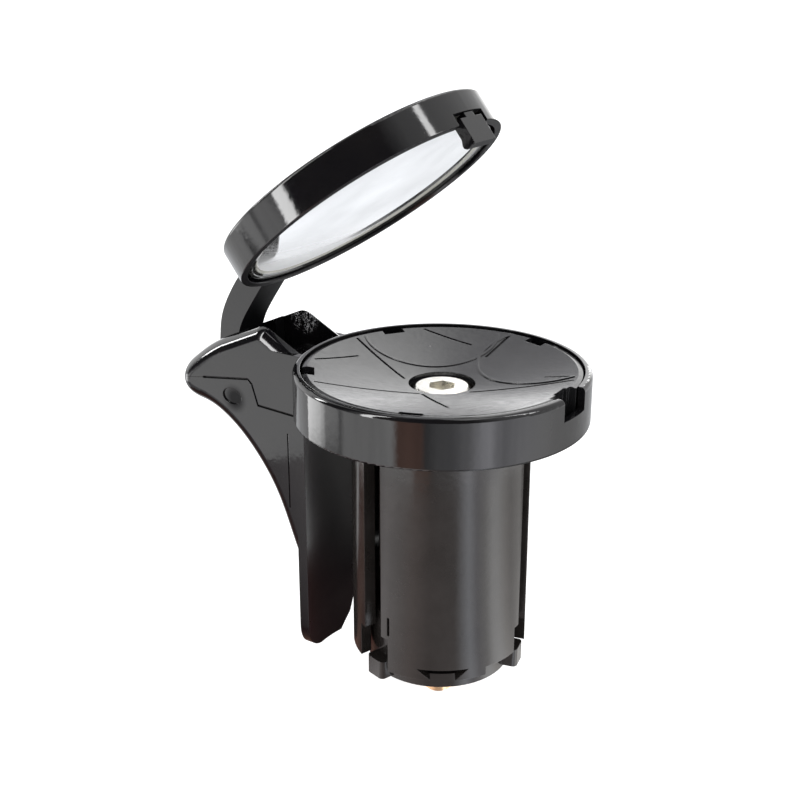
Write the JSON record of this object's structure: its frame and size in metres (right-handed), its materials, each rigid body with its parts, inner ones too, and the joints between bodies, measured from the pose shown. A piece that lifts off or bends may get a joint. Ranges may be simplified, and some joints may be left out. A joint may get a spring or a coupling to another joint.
{
  "type": "bike mirror",
  "caption": "Folding bar-end mirror: round dished head on an expanding handlebar plug, hinge bracket with a long side fin, and a round lid with a convex mirror.",
  "frame": {"origin": "on the plug's axis, level with the top of its gripping wall, 0.3 mm under the face that meets the bar's end", "axes": "+Z along the plug's axis, out of the handlebar; +X from the hinge towards the latch; the lid's hinge axis lies along Y"},
  "size_m": [0.0568, 0.036, 0.077],
  "materials": {
    "gloss_black": "injection-moulded, high gloss",
    "cap_black": "moulded, satin gloss with fine relief",
    "plug_black": "moulded, semi gloss",
    "bolt_steel": "bright plated steel",
    "pin_steel": "ground steel",
    "insert_brass": "machined brass, copper toned",
    "shim_plastic": "low-friction sheet",
    "band_rubber": "soft rubber",
    "lens_clear": "clear, polished, bevelled edge",
    "mirror_silver": "mirror coating",
    "pad_foam": "adhesive foam"
  },
  "bodies": {
    "plug": {"plug_core": "plug_black", "bolt_washer": "pin_steel", "swivel_washer": "shim_plastic", "segment_band": "band_rubber"},
    "bracket": {"bracket": "gloss_black", "end_cap": "cap_black", "hinge_cover": "gloss_black", "hinge_pin": "pin_steel", "hinge_washers": "shim_plastic"},
    "lid": {"lid_housing": "gloss_black", "mirror_lens": "lens_clear", "mirror_silvering": "mirror_silver", "mirror_pad": "pad_foam"},
    "latch": {"latch_tongue": "gloss_black"},
    "bolt": {"clamp_bolt": "bolt_steel"},
    "wedge": {"expander_wedge": "plug_black", "wedge_nut": "insert_brass"},
    "segment_1": {"expander_segment_1": "plug_black"},
    "segment_2": {"expander_segment_2": "plug_black"},
    "segment_3": {"expander_segment_3": "plug_black"}
  },
  "joints": [
    {"name": "bracket_swivel", "type": "hinge", "parent": "plug", "child": "bracket", "pos_m": [0, 0, 0], "axis": [0, 0, 1], "continuous": true},
    {"name": "lid_hinge", "type": "hinge", "parent": "bracket", "child": "lid", "pos_m": [-0.0308, 0, 0.0011], "axis": [0, -1, 0], "range_deg": [-38.5, 45]},
    {"name": "latch_flex", "type": "hinge", "parent": "lid", "child": "latch", "pos_m": [0.00247, 0, 0.03638], "axis": [0, -1, 0], "range_deg": [0, 6], "stiffness_Nm_per_rad": 0.02},
    {"name": "bolt_turn", "type": "hinge", "parent": "plug", "child": "bolt", "pos_m": [0, 0, 0], "axis": [0, 0, -1], "range_deg": [0, 1540]},
    {"name": "wedge_slide", "type": "slide", "parent": "plug", "child": "wedge", "axis": [0, 0, 1], "range_m": [0, 0.003]},
    {"name": "segment_1_spread", "type": "hinge", "parent": "plug", "child": "segment_1", "pos_m": [0.00709, -0.00734, -0.0012], "axis": [-0.7193, -0.6947, 0], "range_deg": [0, 2.5]},
    {"name": "segment_2_spread", "type": "hinge", "parent": "plug", "child": "segment_2", "pos_m": [0.00281, 0.0098, -0.0012], "axis": [0.9613, -0.2756, 0], "range_deg": [0, 2.5]},
    {"name": "segment_3_spread", "type": "hinge", "parent": "plug", "child": "segment_3", "pos_m": [-0.0099, -0.00247, -0.0012], "axis": [-0.2419, 0.9703, 0], "range_deg": [0, 2.5]}
  ],
  "couplings": [
    {"joint": "bolt_turn", "follows": "wedge_slide", "rad_per_m": 8959},
    {"joint": "segment_1_spread", "follows": "wedge_slide", "rad_per_m": 14.5},
    {"joint": "segment_2_spread", "follows": "wedge_slide", "rad_per_m": 14.5},
    {"joint": "segment_3_spread", "follows": "wedge_slide", "rad_per_m": 14.5}
  ]
}
